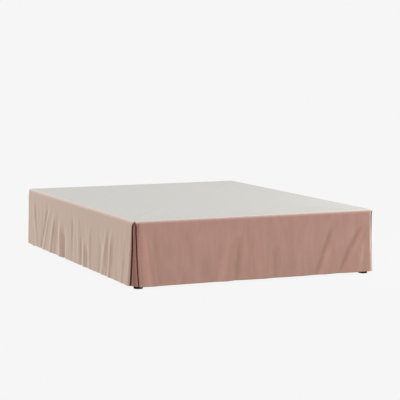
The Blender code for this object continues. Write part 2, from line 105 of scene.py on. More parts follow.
# start: half the distance between its two slots, under its arch.
# spread: that distance grows by this times the square of the height.
# shift_top, shift_hem: how much nearer the foot side than the corner's middle it sits.
# side, foot: where the corner starts at the hem, from the bed's side and from its foot.
# flat: how nearly the corner is cut straight across between those, 0 for a round one.
Pleat = namedtuple("Pleat", "start spread shift_top shift_hem side foot flat")
PLEATS = {
    "left": Pleat(0.0110, 0.125, -0.0050, 0.0010, 0.062, 0.036, 0.85),
    "right": Pleat(0.0080, 0.040, -0.0020, -0.0320, 0.034, 0.034, 0.0),
}

# ---- the folds ----------------------------------------------------------------------
# They are the model's, some moved by up to 13 mm and up to 4.2 mm deeper or shallower.
# at_hem: place along the drop at the hem. lean: how much further along its upper end lies.
# starts, full: how far below the top it begins, and has its whole depth.
# kept: the share of that at the hem. half: half its width. rise: outwards if above zero.
Fold = namedtuple("Fold", "at_hem lean starts full kept half rise")

LEFT_FOLDS = [
    Fold(0.225, -0.085, 0.04, 0.15, 0.3, 0.022, 0.0048),
    Fold(0.317, 0.160, 0.05, 0.14, 0.8, 0.023, -0.0056),
    Fold(0.368, 0.130, 0.08, 0.20, 0.8, 0.019, 0.0036),
    Fold(0.515, 0.095, 0.08, 0.20, 0.8, 0.026, 0.0064),
    Fold(0.630, 0.030, 0.10, 0.22, 0.8, 0.032, -0.0044),
    Fold(0.720, -0.005, 0.11, 0.24, 1.0, 0.029, 0.0062),
    Fold(0.800, 0.002, 0.14, 0.28, 1.2, 0.026, -0.0062),
    Fold(0.968, -0.006, 0.06, 0.15, 0.3, 0.018, -0.0044),
    Fold(1.085, -0.010, 0.04, 0.13, 0.3, 0.026, 0.0036),
    Fold(1.140, 0.000, 0.17, 0.27, 0.8, 0.020, -0.0036),
    Fold(1.188, 0.000, 0.17, 0.27, 0.7, 0.021, 0.0046),
    Fold(1.246, 0.004, 0.19, 0.29, 0.7, 0.023, -0.0038),
    Fold(1.284, -0.004, 0.09, 0.19, 0.4, 0.025, 0.0034),
    Fold(1.480, 0.020, 0.13, 0.23, 0.6, 0.028, -0.0040),
    Fold(1.516, 0.084, 0.06, 0.20, 0.8, 0.026, 0.0050),
    Fold(1.600, 0.040, 0.10, 0.28, 0.6, 0.022, -0.0022),
    Fold(1.640, 0.030, 0.08, 0.20, 0.9, 0.024, 0.0064),
    Fold(1.850, 0.010, 0.17, 0.27, 0.8, 0.020, 0.0019),
    Fold(1.884, 0.030, 0.08, 0.18, 0.8, 0.020, -0.0018),
]
FOOT_FOLDS = [
    Fold(0.114, -0.060, 0.03, 0.10, 0.8, 0.027, 0.0098),
    Fold(0.470, -0.010, 0.19, 0.29, 0.8, 0.047, -0.0050),
    Fold(0.550, 0.030, 0.11, 0.24, 0.8, 0.032, 0.0065),
    Fold(0.620, 0.045, 0.05, 0.18, 0.8, 0.034, -0.0100),
    Fold(0.792, 0.004, 0.09, 0.22, 0.8, 0.036, 0.0065),
    Fold(0.866, 0.000, 0.15, 0.26, 0.8, 0.025, -0.0060),
    Fold(1.040, 0.010, 0.11, 0.22, 0.6, 0.032, 0.0060),
    Fold(1.134, 0.128, 0.04, 0.14, 0.8, 0.033, -0.0112),
    Fold(1.182, 0.108, 0.13, 0.24, 0.8, 0.022, 0.0036),
    Fold(1.282, 0.175, 0.05, 0.15, 0.8, 0.034, -0.0115),
    Fold(1.394, 0.064, 0.11, 0.22, 0.8, 0.030, 0.0052),
]
RIGHT_FOLDS = [
    Fold(0.190, 0.030, 0.09, 0.22, 0.8, 0.032, 0.0085),
    Fold(0.270, 0.020, 0.11, 0.24, 0.8, 0.026, -0.0080),
    Fold(0.440, -0.040, 0.07, 0.20, 0.8, 0.034, 0.0085),
    Fold(0.530, -0.030, 0.13, 0.24, 0.8, 0.026, -0.0070),
    Fold(0.720, 0.050, 0.09, 0.22, 0.8, 0.032, 0.0100),
    Fold(0.800, 0.060, 0.11, 0.22, 0.8, 0.024, -0.0085),
    Fold(0.960, 0.010, 0.15, 0.26, 0.8, 0.032, 0.0070),
    Fold(1.120, -0.020, 0.09, 0.20, 0.6, 0.028, -0.0065),
    Fold(1.200, -0.030, 0.08, 0.20, 0.8, 0.030, 0.0095),
    Fold(1.330, 0.000, 0.17, 0.27, 0.8, 0.026, -0.0080),
    Fold(1.480, 0.050, 0.09, 0.22, 0.8, 0.032, 0.0100),
    Fold(1.570, 0.060, 0.11, 0.24, 0.8, 0.026, -0.0080),
    Fold(1.780, -0.020, 0.11, 0.24, 0.8, 0.034, 0.0080),
]

Drop = namedtuple("Drop", "length columns folds flares seed")
DROPS = {
    "left": Drop(MIDDLE_L, 400, LEFT_FOLDS,
                 ((0.0, 0.0075), (1.60, 0.0090), (MIDDLE_L, 0.0160)), 3.0),
    "foot": Drop(MIDDLE_W, 300, FOOT_FOLDS,
                 ((0.0, 0.0160), (0.30, 0.0110), (MIDDLE_W, 0.0070)), 11.0),
    "right": Drop(MIDDLE_L, 400, RIGHT_FOLDS,
                  ((0.0, 0.0075), (1.60, 0.0100), (MIDDLE_L, 0.0080)), 23.0),
}

# The cloth's own slight waves: a fine set lies over the main one.
RIPPLE_TALL = 3  # the main waves are this many times longer down the drop than along it
FINE_RIPPLE, FINE_SHARE = 3.1, 0.35  # how much shorter the fine ones are, and their depth
RIPPLE_FROM, RIPPLE_GROWS = 0.02, 0.12  # the level where both start, and how far they grow

# Segments of the shorter stretches of a row, and of the rows themselves.
SHOULDER_STEPS = 8
ARCH_STEPS = 12
FACE_STEPS = 54
RETURN_STEPS = 8
HEAD_ARC_STEPS = 12
CORNER_STEPS = 14
FOLD_STEPS = 8
LEG_STEPS = 6
PLEAT_FACE_STEPS = 12


# ---- small helpers ------------------------------------------------------------------
def smooth(x):
    """0 up to 0, 1 from 1 on, with a soft start and end."""
    x = min(max(x, 0.0), 1.0)
    return x * x * (3 - 2 * x)


def read_off(table, x):
    """The value at x of a table of (place, value) pairs, straight between them."""
    for (x0, y0), (x1, y1) in zip(table, table[1:]):
        if x <= x1:
            return y0 + (y1 - y0) * (x - x0) / (x1 - x0)
    return table[-1][1]


def between(a, b, steps):
    return [a + (b - a) * i / steps for i in range(steps + 1)]


def linear(hex_colour):
    """A linear RGB colour from an sRGB hex value such as #b08a7a."""
    channels = [int(hex_colour[i:i + 2], 16) / 255 for i in (1, 3, 5)]
    return tuple(c / 12.92 if c <= 0.04045 else ((c + 0.055) / 1.055) ** 2.4 for c in channels)


def settings():
    return bpy.context.scene.bed_skirt


# ---- how the cloth hangs ------------------------------------------------------------
def lean_share(level):
    hang = (level - LEAN_FROM) / (DROP - LEAN_FROM)
    return max(hang, 0.0) ** FLARE_POWER


def fold_depth(folds, along, level):
    """How far the folds push the cloth out at a place."""
    out = 0.0
    for fold in folds:
        if level <= fold.starts:
            continue
        up = (DROP - level) / (DROP - fold.starts)
        off = (along - fold.at_hem - fold.lean * up) / fold.half
        if abs(off) > FOLD_REACH:
            continue
        depth = smooth((level - fold.starts) / (fold.full - fold.starts))
        fade = smooth((level - fold.full) / (DROP - fold.full))
        out += fold.rise * depth * (1 - (1 - fold.kept) * fade) * math.exp(-off * off)
    return out


def ripple(drop, along, level):
    """How far the cloth's own slight waves push it out at a place."""
    cloth = settings().cloth
    across, down = along / cloth.ripple_length, level / cloth.ripple_length
    swell = noise.noise(Vector((across, down / RIPPLE_TALL, drop.seed)))
    swell += FINE_SHARE * noise.noise(Vector((across * FINE_RIPPLE, down, drop.seed)))
    return cloth.ripple_depth * swell * smooth((level - RIPPLE_FROM) / RIPPLE_GROWS)


def hang_out(drop, along, level, wavy=True):
    """How far a drop's middle stands out from the bed's outline at a place."""
    flare = read_off(drop.flares, min(max(along, 0.0), drop.length)) * lean_share(level)
    if not wavy:
        return flare
    from_end = min(along, drop.length - along)
    calm = smooth((from_end - CORNER_TOP) / CALM)
    return flare + calm * (fold_depth(drop.folds, along, level) + ripple(drop, along, level))


def down_share(level):
    """0 at the pleat's apex, 1 at the hem."""
    return max(level - APEX, 0.0) / (DROP - APEX)


def arch_share(level):
    """How far the pleat's round top has parted: 0 at its apex, 1 below its arch."""
    return math.sqrt(min(max(level - APEX, 0.0) / ARCH, 1.0))


class FootCorner:
    """One foot corner at one level, seen from one of its two drops.

    Places are (distance from the bed's end along the drop, distance out from it), and
    across is measured from the corner's middle, towards the other drop.
    """

    def __init__(self, here, there, level, reach_here, reach_there, flat):
        share = math.sqrt(down_share(level))
        self.start = Vector((CORNER_TOP + (reach_here - CORNER_TOP) * share, here))
        self.end = Vector((-there, -CORNER_TOP - (reach_there - CORNER_TOP) * share))
        self.middle = (self.start + self.end) / 2
        self.half = (self.end - self.start).length / 2
        self.across = (self.end - self.start).normalized()
        self.outward = Vector((self.across.y, -self.across.x))
        self.flat = flat * smooth((level - APEX) / FLATTENS)
        self.round = self.half * math.sqrt(2)

    def at(self, across, deeper=0.0):
        """The place on the corner's curve or on the face past it, or deeper in behind them."""
        past = abs(across) - self.half
        if past > 0 and across < 0:
            place = self.start - Vector((past / self.across.x, 0.0))
        elif past > 0:
            place = self.end + Vector((0.0, past / self.across.y))
        else:
            rise = math.sqrt(self.round**2 - across**2) - self.round / math.sqrt(2)
            place = self.middle + self.across * across + self.outward * rise * (1 - self.flat)
        return place - self.outward * deeper


def end_out(name, other, level):
    """How far a drop stands out at the end where it meets another."""
    drop = DROPS[name]
    return hang_out(drop, 0.0 if other == "left" else drop.length, level, wavy=False)


def foot_corner(name, other, level, inset=0.0):
    """The foot corner of two drops, seen from the first, and the pleat in it."""
    pleat = PLEATS[other if name == "foot" else name]
    reaches = (pleat.foot, pleat.side) if name == "foot" else (pleat.side, pleat.foot)
    here, there = end_out(name, other, level) - inset, end_out(other, name, level) - inset
    return FootCorner(here, there, level, *reaches, pleat.flat), pleat


def slot_middle(pleat, level):
    """Half the distance between the middles of a pleat's slots."""
    return pleat.start * arch_share(level) + pleat.spread * level**2


def moved_to_foot(pleat, level):
    """How much nearer the foot side than the corner's middle a pleat sits."""
    return pleat.shift_top + (pleat.shift_hem - pleat.shift_top) * down_share(level) ** 2


def slot_depth(level):
    under_board = smooth((level - BOARD_UNDER_LEVEL) / ARCH)
    return SLOT_DEPTH_TOP + (SLOT_DEPTH - SLOT_DEPTH_TOP) * under_board


def straight(start, end, steps):
    """Points from one to another, both included."""
    return [start.lerp(end, share) for share in between(0.0, 1.0, steps)]


def rounded_bend(before, bend, after, radius, steps):
    """Points along an arc that rounds the bend between two straight stretches."""
    to_before = (before - bend).normalized()
    to_after = (after - bend).normalized()
    opening = to_before.angle(to_after)
    reach = radius / math.tan(opening / 2)
    centre = bend + (to_before + to_after).normalized() * (radius / math.sin(opening / 2))
    first, last = bend + to_before * reach - centre, bend + to_after * reach - centre
    return [centre + spoke.normalized() * radius for spoke in straight(first, last, steps)]


def corner_end(corner, slot, level):
    """A drop's points round a foot corner, then its folded edge and inner leg."""
    cloth = settings().cloth.thickness
    if level <= APEX:
        step = min(LAID / FOLD_STEPS, corner.half / (CORNER_STEPS + FOLD_STEPS))
        laid = [-GAP / 2 - step * k for k in range(FOLD_STEPS, -1, -1)]
        round_part = [corner.at(c) for c in between(-corner.half, laid[0], CORNER_STEPS)]
        return round_part[:-1] + [corner.at(c) for c in laid] + [None] * LEG_STEPS
    edge = slot + SLOT / 2 * math.sqrt(arch_share(level)) + cloth / 2
    bend = corner.at(-edge)
    before = corner.at(-(edge + FOLD_RADIUS))
    inner = corner.at(-(slot + GAP / 2 + cloth / 2), slot_depth(level))
    fold = rounded_bend(before, bend, inner, FOLD_RADIUS, FOLD_STEPS)
    reach = (fold[0] - corner.middle).dot(corner.across)
    first = min(-corner.half, reach - FOLD_RADIUS)
    round_part = [corner.at(c) for c in between(first, reach, CORNER_STEPS)]
    return round_part[:-1] + fold + straight(fold[-1], inner, LEG_STEPS)[1:]


def head_end(out, inset):
    """A side drop's points round its head corner, from the return's end on."""
    radius = CORNER_TOP
    reach = radius + out - inset
    returns = between(1.0, 0.0, RETURN_STEPS)[:-1]
    points = [Vector((inset - out, -radius - HEAD_RETURN * share)) for share in returns]
    for angle in between(math.pi / 2, 0.0, HEAD_ARC_STEPS):
        points.append(Vector((radius - reach * math.sin(angle), -radius + reach * math.cos(angle))))
    return points


def soften_head(p, level, inset):
    """A point of a side drop, rounded off and drawn in near the head corner's top."""
    if inset >= SHOULDER:
        return Vector((p.x, p.y, -level))
    middle = Vector((CORNER_TOP, -CORNER_TOP))
    near = smooth((HEAD_SPREAD - (p - middle).angle(Vector((-1.0, 1.0)))) / HEAD_FADE)
    face_top = TOP_MIDDLE + SHOULDER
    if level < face_top:
        turned = 1 - inset / SHOULDER
        rounded = TOP_MIDDLE + HEAD_ROUND * (1 - math.sqrt(1 - turned**2))
        drawn = HEAD_PINCH * turned**2
    else:
        fade = 1 - smooth((level - face_top) / (HEAD_CALM - face_top))
        rounded = level + (HEAD_ROUND - SHOULDER) * fade
        drawn = HEAD_PINCH * fade
    p = p + (middle - p).normalized() * drawn * near
    return Vector((p.x, p.y, -level - (rounded - level) * near))


def face_levels(first):
    """The levels of the face's rows, close together where the pleats' arches are."""
    arch = [APEX + ARCH * share**2 for share in between(0.0, 1.0, ARCH_STEPS)]
    face = between(APEX + ARCH, DROP, FACE_STEPS)[1:]
    return [first] + [level for level in arch + face if level > first + GAP]


def drop_levels():
    """(level, inset) of a drop's rows, from its seam with the deck to its hem."""
    seam = settings().seam
    inset_top = SEAM_IN - settings().cloth.thickness / 2
    levels = []
    for share in between(0.0, 1.0, SHOULDER_STEPS)[:-1]:
        inset = inset_top - (inset_top - SHOULDER) * share
        rolled = smooth(1 - (inset_top - inset) / seam.roll)
        levels.append((TOP_MIDDLE + seam.groove * rolled, inset))
    for turn in between(0.0, math.pi / 2, SHOULDER_STEPS):
        down, over = SHOULDER * (1 - math.cos(turn)), SHOULDER * (1 - math.sin(turn))
        levels.append((TOP_MIDDLE + down, over))
    return levels + [(level, 0.0) for level in face_levels(levels[-1][0])[1:]]


def drop_rows(name, first_other, last_other):
    """A drop's rows of points, from its seam to its hem.

    first_other and last_other name the drop that it meets at each end, or None at the head.
    """
    drop = DROPS[name]
    away = 1 if name == "foot" else -1
    rows = []
    for level, inset in drop_levels():
        ends = []
        for other in (first_other, last_other):
            if other is None:
                ends.append(head_end(hang_out(drop, 0.0, level, wavy=False), inset))
                continue
            corner, pleat = foot_corner(name, other, level, inset)
            slot = slot_middle(pleat, level) + away * moved_to_foot(pleat, level)
            ends.append(corner_end(corner, slot, level))
        row = list(ends[0]) if first_other is None else ends[0][::-1]
        start, finish = row[-1].x, drop.length - ends[1][0].x
        for along in between(start, finish, drop.columns)[1:-1]:
            row.append(Vector((along, hang_out(drop, along, level) - inset)))
        row += [None if p is None else Vector((drop.length - p.x, p.y)) for p in ends[1]]
        if first_other is None:
            rows.append([None if p is None else soften_head(p, level, inset) for p in row])
        else:
            rows.append([None if p is None else Vector((p.x, p.y, -level)) for p in row])
    return rows


def pleat_rows(side):
    """A let-in pleat's rows, seen from its side drop."""
    cloth = settings().cloth.thickness
    half_face = PLEAT_FACE_STEPS // 2
    rows = []
    for level in face_levels(PLEAT_TOP):
        corner, pleat = foot_corner(side, "foot", level)
        middle, moved = slot_middle(pleat, level), moved_to_foot(pleat, level)
        back = PLEAT_SET_BACK + PLEAT_TUCK * (1 - smooth((level - PLEAT_TOP) / (2 * ARCH)))
        face = max(middle - SLOT / 2 * math.sqrt(arch_share(level)) - cloth / 2, PLEAT_LEAST)
        foot_of_leg = max(middle - GAP / 2 - cloth / 2, PLEAT_LEAST)
        bends = [corner.at(moved + way * face, back) for way in (-1, 1)]
        inners = [corner.at(moved + way * foot_of_leg, slot_depth(level)) for way in (-1, 1)]
        crease = corner.at(moved, back + PLEAT_CREASE * smooth((level - PLEAT_TOP) / DROP))
        first = rounded_bend(inners[0], bends[0], crease, FOLD_RADIUS, FOLD_STEPS)
        last = rounded_bend(crease, bends[1], inners[1], FOLD_RADIUS, FOLD_STEPS)
        row = straight(inners[0], first[0], LEG_STEPS)[:-1] + first
        row += straight(first[-1], crease, half_face)[1:]
        row += straight(crease, last[0], half_face)[1:-1]
        row += last + straight(last[-1], inners[1], LEG_STEPS)[1:]
        rows.append([Vector((DROPS[side].length - p.x, p.y, -level)) for p in row])
    return rows


def place_left(p):
    """A point of the left drop, (along, out, down), in the bed's frame."""
    return Vector((-MIDDLE_W / 2 - p.y, MIDDLE_L / 2 - p.x, TOP_Z + p.z))


def place_right(p):
    return Vector((MIDDLE_W / 2 + p.y, MIDDLE_L / 2 - p.x, TOP_Z + p.z))


def place_foot(p):
    return Vector((p.x - MIDDLE_W / 2, -MIDDLE_L / 2 - p.y, TOP_Z + p.z))


# ---- making meshes ------------------------------------------------------------------
def new_object(name, mesh, material):
    """A piece of that mesh, in place of one of the same name."""
    old = bpy.data.objects.get(name)
    if old:
        bpy.data.objects.remove(old)
    obj = bpy.data.objects.new(name, mesh)
    mesh.materials.clear()
    mesh.materials.append(material)
    bpy.context.scene.collection.objects.link(obj)
    return obj


def finished_mesh(name, bm):
    """A smooth mesh of what was built."""
    mesh = bpy.data.meshes.new(name)
    bm.to_mesh(mesh)
    bm.free()
    mesh.shade_smooth()
    return mesh


def running_length(points):
    """The distance along a line of points at each of them, past any that is left out."""
    lengths, last = [], None
    for p in points:
        step = 0.0 if p is None or last is None else (p - last).length
        lengths.append((lengths[-1] if lengths else 0.0) + step)
        last = p or last
    return lengths


def woven_sheet(name, rows, place, material, painted_light_at):
    """A cloth on rows of points, with a UV map in metres along and down the cloth.

    The last argument says of a point of a row how much painted highlight and how much painted
    shade it is given, each from 0 to 1.
    """
    bm = bmesh.new()
    uv_layer = bm.loops.layers.uv.new("cloth")
    painted_highlight_layer = bm.verts.layers.float.new("opened")
    painted_shade_layer = bm.verts.layers.float.new("tucked")
    hem_layer = bm.verts.layers.deform.verify()
    along = running_length(rows[-1])
    down = running_length([row[len(row) // 2] for row in rows])
    hem_from = down[-1] - settings().cloth.hem
    places = {}
    grid = []
    for j, row in enumerate(rows):
        verts = []
        for i, p in enumerate(row):
            vert = None
            if p is not None:
                vert = bm.verts.new(place(p))
                vert[painted_highlight_layer], vert[painted_shade_layer] = painted_light_at(i, len(row), -p.z)
                vert[hem_layer][0] = 1.0 if down[j] > hem_from else 0.0
                places[vert] = (along[i], down[-1] - down[j])
            verts.append(vert)
        grid.append(verts)
    for upper, lower in zip(grid, grid[1:]):
        for i in range(len(upper) - 1):
            cell = (upper[i], lower[i], lower[i + 1], upper[i + 1])
            if None not in cell:
                face = bm.faces.new(cell)
                for loop in face.loops:
                    loop[uv_layer].uv = places[loop.vert]
    bmesh.ops.recalc_face_normals(bm, faces=bm.faces)
    obj = new_object(name, finished_mesh(name, bm), material)
    obj.vertex_groups.new(name="hem")
    return obj


def thicken(obj, thickness):
    """Gives a sheet its thickness, half of it on each side."""
    modifier = obj.modifiers.new("cloth", "SOLIDIFY")
    modifier.thickness = thickness
    modifier.offset = 0.0
    return modifier


def thicken_skirt(obj):
    """Gives the skirt's cloth its thickness, whole in its hem and a share of that above it."""
    cloth = settings().cloth
    modifier = thicken(obj, cloth.thickness)
    modifier.use_even_offset = True
    modifier.vertex_group = "hem"
    modifier.thickness_vertex_group = cloth.body_share


def dress(obj, slot, *nodes):
    """Lets a finished piece ride on the bed and stand for its nodes. The finish's name it is given
    is not used.
    """
    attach(obj, BODY)
    if nodes:
        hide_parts(*nodes)


# ---- materials ----------------------------------------------------------------------
MIX_A, MIX_B, MIX_COLOUR = 6, 7, 2  # a Mix node's sockets for colours
BAND = math.pi / 10  # from band to band of a wave texture at scale 1

STROKED = 0.045  # width of the patches in which a hand has stroked the pile
STROKED_TALL = 0.28  # their width as a share of their height
TUFTS = 0.0012  # pile tufts are about 0.5 mm apart, and drawn coarser so that they show
SLUBS = 0.012  # the uneven stretches in the deck's yarn
THREADS = 0.0016  # its threads are 0.4 mm apart, and drawn coarser so that they show
RINGS = 0.022  # width of pine's growth rings
RINGS_SHOWN = 9.0  # how many of them its noise is cut into
FIBRES = 0.0015
ALONG_GRAIN = 0.05  # pine's pattern is stretched to this share along the piece
SPARKS = 0.0008  # grain of the mould's texture
DUST = 0.02
TWIST = 0.0008  # from ply to ply along the thread


def new_material(name):
    """An empty material, its node tree and its Principled shader."""
    old = bpy.data.materials.get(name)
    if old:
        bpy.data.materials.remove(old)
    material = bpy.data.materials.new(name)
    material.use_nodes = True
    return material, material.node_tree, material.node_tree.nodes["Principled BSDF"]


def set_inputs(tree, node, inputs):
    """Gives a node's inputs a value each, or the socket or node that feeds it."""
    for key, value in inputs.items():
        socket = node.inputs[key]
        if isinstance(value, bpy.types.Node):
            tree.links.new(value.outputs[0], socket)
        elif isinstance(value, bpy.types.NodeSocket):
            tree.links.new(value, socket)
        else:
            socket.default_value = (*value, 1.0) if socket.type == "RGBA" else value


def add_node(tree, kind, inputs=None, **options):
    """Adds a node with its options and inputs."""
    node = tree.nodes.new(kind)
    for key, value in options.items():
        setattr(node, key, value)
    set_inputs(tree, node, inputs or {})
    return node


def velvet():
    """Cotton velvet: a woven ground with a short, upright pile, brushed down.

    The pile is matt face on and mottles where it has been stroked. It has a sheen of its own where
    it is seen or lit from the side, and a pale painted sheen in its colour where it is seen from
    the side. A painted highlight makes it paler where the cloth bends over an edge, and painted
    shade makes it darker and redder in folds and slots.
    """
    cloth = settings().cloth
    material, tree, shader = new_material("cotton_velvet")
    uv = add_node(tree, "ShaderNodeUVMap", uv_map="cloth")
    tall = add_node(tree, "ShaderNodeMapping", {"Vector": uv, "Scale": (1.0, STROKED_TALL, 1.0)})
    strokes = add_node(tree, "ShaderNodeTexNoise", {
        "Vector": tall, "Scale": 1 / STROKED, "Detail": 3.0, "Roughness": 0.55})
    mottle = add_node(tree, "ShaderNodeMapRange", {
        "Value": strokes, "From Min": 0.32, "From Max": 0.68})
    # Painted sheen: the colour turns paler the more aslant the cloth is seen.
    facing = add_node(tree, "ShaderNodeLayerWeight", {"Blend": 0.5}).outputs["Facing"]
    aslant = add_node(tree, "ShaderNodeMapRange", {
        "Value": facing, "From Min": 0.25, "From Max": 0.60})
    # Painted highlight and painted shade, as set on the cloth's points.
    opened, tucked = (add_node(tree, "ShaderNodeAttribute", attribute_name=name).outputs["Fac"]
                      for name in ("opened", "tucked"))
    colour = cloth.pile_dark
    for share, over in ((mottle, cloth.pile_light), (aslant, cloth.pile_painted_sheen),
                        (opened, cloth.pile_painted_highlight), (tucked, cloth.tucked)):
        colour = add_node(tree, "ShaderNodeMix", {"Factor": share, MIX_A: colour, MIX_B: over},
                          data_type="RGBA").outputs[MIX_COLOUR]
    tufts = add_node(tree, "ShaderNodeTexNoise", {"Vector": uv, "Scale": 1 / TUFTS, "Detail": 2.0})
    bump = add_node(tree, "ShaderNodeBump", {
        "Height": tufts, "Strength": 0.35, "Distance": 0.0004})
    set_inputs(tree, shader, {
        "Base Color": colour, "Normal": bump, "Roughness": 0.92, "Specular IOR Level": 0.15,
        "Sheen Weight": cloth.sheen, "Sheen Roughness": 0.5, "Sheen Tint": linear("#fffbf3")})
    return material


def calico():
    """Calico: a bleached plain weave of cotton, with uneven threads and a dry, matt face."""
    deck = settings().deck
    material, tree, shader = new_material("cotton_calico")
    uv = add_node(tree, "ShaderNodeUVMap", uv_map="cloth")
    slubs = add_node(tree, "ShaderNodeTexNoise", {"Vector": uv, "Scale": 1 / SLUBS, "Detail": 4.0})
    thin = add_node(tree, "ShaderNodeMapRange", {"Value": slubs, "From Min": 0.2, "From Max": 0.8})
    tone = add_node(tree, "ShaderNodeMix", {"Factor": thin, MIX_A: deck.shade, MIX_B: deck.colour},
                    data_type="RGBA").outputs[MIX_COLOUR]
    warp, weft = (
        add_node(tree, "ShaderNodeTexWave", {
            "Vector": uv, "Scale": BAND / THREADS, "Distortion": 0.4},
            bands_direction=way).outputs["Fac"]
        for way in ("X", "Y"))
    weave = add_node(tree, "ShaderNodeMath", {0: warp, 1: weft}, operation="MULTIPLY")
    bump = add_node(tree, "ShaderNodeBump", {
        "Height": weave, "Strength": 0.4, "Distance": 0.0003})
    set_inputs(tree, shader, {
        "Base Color": tone, "Normal": bump, "Roughness": 0.9, "Specular IOR Level": 0.2,
        "Sheen Weight": 0.1})
    return material


def pine(axis):
    """Planed pine: straight, slightly wavy growth rings along the piece, satin and pale."""
    base = settings().base
    material, tree, shader = new_material(f"planed_pine_along_{axis}")
    place = add_node(tree, "ShaderNodeTexCoord").outputs["Object"]
    stretch = [ALONG_GRAIN if way == axis else 1.0 for way in "xyz"]
    grain = add_node(tree, "ShaderNodeMapping", {"Vector": place, "Scale": stretch})
    growth = add_node(tree, "ShaderNodeTexNoise", {
        "Vector": grain, "Scale": 1 / RINGS, "Detail": 2.0, "Distortion": 0.6})
    years = add_node(tree, "ShaderNodeMapRange", {
        "Value": growth, "From Min": 0.2, "From Max": 0.8, "To Max": RINGS_SHOWN})
    rings = add_node(tree, "ShaderNodeMath", {0: years}, operation="FRACT")
    late = add_node(tree, "ShaderNodeMapRange", {
        "Value": rings, "From Min": 0.1, "From Max": 0.95})
    fibres = add_node(tree, "ShaderNodeTexNoise", {
        "Vector": grain, "Scale": 1 / FIBRES, "Detail": 3.0})
    pale = add_node(tree, "ShaderNodeMapRange", {
        "Value": fibres, "From Min": 0.35, "From Max": 0.65, "To Max": 0.35})
    colour = base.wood_light
    for share, over in ((late, base.wood_dark), (pale, base.wood_light)):
        colour = add_node(tree, "ShaderNodeMix", {"Factor": share, MIX_A: colour, MIX_B: over},
                          data_type="RGBA").outputs[MIX_COLOUR]
    bump = add_node(tree, "ShaderNodeBump", {
        "Height": fibres, "Strength": 0.2, "Distance": 0.0003})
    set_inputs(tree, shader, {"Base Color": colour, "Normal": bump, "Roughness": 0.55})
    return material


def moulded_plastic():
    """Polypropylene, injection moulded in black with a fine spark texture, and quite dull."""
    base = settings().base
    material, tree, shader = new_material("moulded_polypropylene")
    place = add_node(tree, "ShaderNodeTexCoord").outputs["Object"]
    spark = add_node(tree, "ShaderNodeTexNoise", {
        "Vector": place, "Scale": 1 / SPARKS, "Detail": 2.0})
    dust = add_node(tree, "ShaderNodeTexNoise", {"Vector": place, "Scale": 1 / DUST, "Detail": 3.0})
    worn = add_node(tree, "ShaderNodeMapRange", {"Value": dust, "From Min": 0.3, "From Max": 0.7})
    rough = add_node(tree, "ShaderNodeMapRange", {
        "Value": dust, "From Min": 0.3, "From Max": 0.7, "To Min": 0.55, "To Max": 0.70})
    tone = add_node(tree, "ShaderNodeMix", {
        "Factor": worn, MIX_A: base.foot, MIX_B: base.foot_worn},
        data_type="RGBA").outputs[MIX_COLOUR]
    bump = add_node(tree, "ShaderNodeBump", {
        "Height": spark, "Strength": 0.25, "Distance": 0.0002})
    set_inputs(tree, shader, {
        "Base Color": tone, "Roughness": rough, "Normal": bump, "Specular IOR Level": 0.0})
    return material


def spun_thread():
    """Spun polyester thread: two plies, whose twist gives fine slanting ribs and little gloss."""
    material, tree, shader = new_material("spun_polyester")
    place = add_node(tree, "ShaderNodeTexCoord").outputs["Object"]
    plies = add_node(tree, "ShaderNodeTexWave", {
        "Vector": place, "Scale": BAND / TWIST, "Distortion": 0.0},
        bands_direction="DIAGONAL").outputs["Fac"]
    thread = settings().seam
    # Painted shade: the thread's colour is darker in the grooves between its plies.
    tone = add_node(tree, "ShaderNodeMix", {
        "Factor": plies, MIX_A: thread.thread_painted_shade, MIX_B: thread.thread},
        data_type="RGBA").outputs[MIX_COLOUR]
    bump = add_node(tree, "ShaderNodeBump", {
        "Height": plies, "Strength": 0.3, "Distance": 0.0001})
    set_inputs(tree, shader, {"Base Color": tone, "Normal": bump, "Roughness": 0.6})
    return material


def studio_floor():
    """Matt painted board, lit so evenly that it keeps hardly any shadow."""
    stage = settings().stage
    material, tree, shader = new_material("studio_floor")
    set_inputs(tree, shader, {
        "Base Color": stage.paint, "Roughness": 1.0, "Specular IOR Level": 0.0,
        "Emission Color": stage.floor, "Emission Strength": stage.floor_glow})
    return material


# ---- settings -----------------------------------------------------------------------
def colour_prop(name, description, hex_colour):
    return FloatVectorProperty(name=name, description=description, subtype="COLOR", size=3,
                               min=0.0, max=1.0, default=linear(hex_colour))


def length_prop(name, description, metres):
    return FloatProperty(name=name, description=description, default=metres, unit="LENGTH")


def share_prop(name, description, value):
    return FloatProperty(name=name, description=description, default=value, subtype="FACTOR",
                         min=0.0, max=1.0)


def angle_prop(name, description, degrees):
    return FloatProperty(name=name, description=description, default=math.radians(degrees),
                         subtype="ANGLE")


def strength_prop(name, description, value):
    return FloatProperty(name=name, description=description, default=value, min=0.0)


class ClothSettings(bpy.types.PropertyGroup):
    thickness: length_prop("Thickness", "Of the skirt's cloth in its hem", 0.0017)
    body_share: share_prop("Body share", "Thickness above the hem, as a share of the hem's", 0.78)
    hem: length_prop("Hem", "Height of the turned-up hem", 0.030)
    ripple_depth: length_prop("Ripple depth", "Of the cloth's own slight waves", 0.0016)
    ripple_length: length_prop("Ripple length", "From wave to wave along the skirt", 0.055)
    pile_dark: colour_prop("Pile, dark", "Velvet brushed towards the eye", "#9e786b")
    pile_light: colour_prop("Pile, light", "Velvet brushed away from the eye", "#a68073")
    # A painted sheen: the paler colour given where the velvet is seen from the side.
    pile_painted_sheen: colour_prop("Pile, aslant", "Velvet seen from the side of its pile", "#9a7c69")
    # A painted highlight: the paler colour given along the top and on some folded edges.
    pile_painted_highlight: colour_prop("Pile, open", "Velvet bent over an edge, whose pile lies open", "#c4aaa1")
    # Painted shade: the dark colour given in slots, on the pleats and beside folded edges.
    tucked: colour_prop("Pile, tucked", "Velvet pressed into a fold", "#4a1300")
    sheen: share_prop("Sheen", "Of the pile's tips", 0.6)


class DeckSettings(bpy.types.PropertyGroup):
    thickness: length_prop("Thickness", "Of the deck's cloth", 0.0011)
    colour: colour_prop("Deck", "Bleached calico", "#d6d4cf")
    shade: colour_prop("Deck, shade", "Its thinner places", "#cdcac4")


